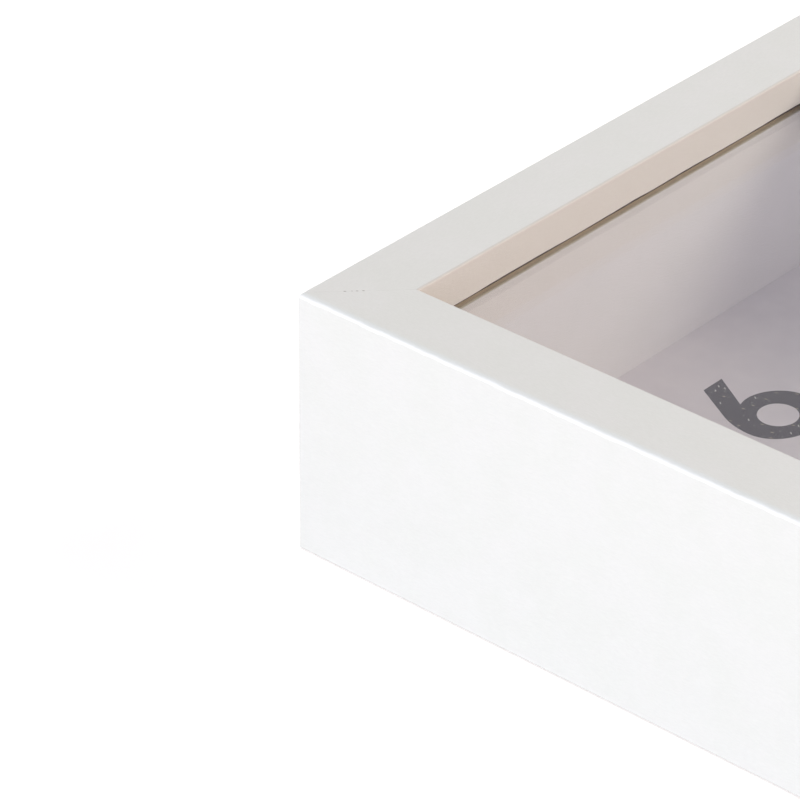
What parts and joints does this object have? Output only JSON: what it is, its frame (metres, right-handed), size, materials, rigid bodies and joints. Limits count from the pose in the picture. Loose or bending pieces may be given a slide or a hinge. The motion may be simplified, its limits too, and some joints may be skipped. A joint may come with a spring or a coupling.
{
  "type": "box picture frame",
  "caption": "Deep white mitred box frame: glass behind a narrow lip, spacers that hold it well off a printed insert, and a back held by swivel clips, with ring hangers.",
  "frame": {"origin": "centre of the outline, in the plane of the rails' back edges", "axes": "+X along the short side, to the right seen from the front; +Y along the long side, towards the top rail; +Z out of the front"},
  "size_m": [0.121, 0.164, 0.044],
  "materials": {
    "wrapped_moulding": "white foil with a fine pressed grain on brown fibreboard",
    "wrapped_spacer": "white foil on brown fibreboard, raw at the edges",
    "nail_steel": "bright drawn",
    "clear_glass": "polished float glass",
    "printed_paper": "uncoated, with one dark grey numeral",
    "hardboard": "brown hardboard, screen texture at the back",
    "spring_steel": "nickel plated",
    "rivet_steel": "zinc plated",
    "hanger_steel": "zinc plated"
  },
  "bodies": {
    "frame": {"rail_top": "wrapped_moulding", "rail_left": "wrapped_moulding", "rail_bottom": "wrapped_moulding", "rail_right": "wrapped_moulding", "corner_nails_top_left": "nail_steel", "corner_nails_top_right": "nail_steel", "corner_nails_bottom_left": "nail_steel", "corner_nails_bottom_right": "nail_steel", "glazing": "clear_glass", "spacer_top": "wrapped_spacer", "spacer_left": "wrapped_spacer", "spacer_bottom": "wrapped_spacer", "spacer_right": "wrapped_spacer", "insert_sheet": "printed_paper", "backing_board": "hardboard", "clip_rivets": "rivet_steel", "hanger_strap_portrait": "hanger_steel", "hanger_strap_landscape": "hanger_steel", "hanger_rivets": "rivet_steel"},
    "top_left_clip": {"swivel_clip_top_left": "spring_steel"},
    "top_right_clip": {"swivel_clip_top_right": "spring_steel"},
    "bottom_left_clip": {"swivel_clip_bottom_left": "spring_steel"},
    "bottom_right_clip": {"swivel_clip_bottom_right": "spring_steel"},
    "portrait_ring": {"hanger_ring_portrait": "hanger_steel"},
    "landscape_ring": {"hanger_ring_landscape": "hanger_steel"}
  },
  "joints": [
    {"name": "top_left_clip_turn", "type": "hinge", "parent": "frame", "child": "top_left_clip", "pos_m": [-0.044, 0.042, 0.0029], "axis": [0, 0, 1], "continuous": true},
    {"name": "top_right_clip_turn", "type": "hinge", "parent": "frame", "child": "top_right_clip", "pos_m": [0.044, 0.042, 0.0029], "axis": [0, 0, 1], "continuous": true},
    {"name": "bottom_left_clip_turn", "type": "hinge", "parent": "frame", "child": "bottom_left_clip", "pos_m": [-0.044, -0.042, 0.0029], "axis": [0, 0, 1], "continuous": true},
    {"name": "bottom_right_clip_turn", "type": "hinge", "parent": "frame", "child": "bottom_right_clip", "pos_m": [0.044, -0.042, 0.0029], "axis": [0, 0, 1], "continuous": true},
    {"name": "portrait_ring_swing", "type": "hinge", "parent": "frame", "child": "portrait_ring", "pos_m": [0, 0.0595, 0.0021], "axis": [-1, 0, 0], "range_deg": [0, 150]},
    {"name": "landscape_ring_swing", "type": "hinge", "parent": "frame", "child": "landscape_ring", "pos_m": [0.038, 0, 0.0021], "axis": [0, 1, 0], "range_deg": [0, 150]}
  ]
}
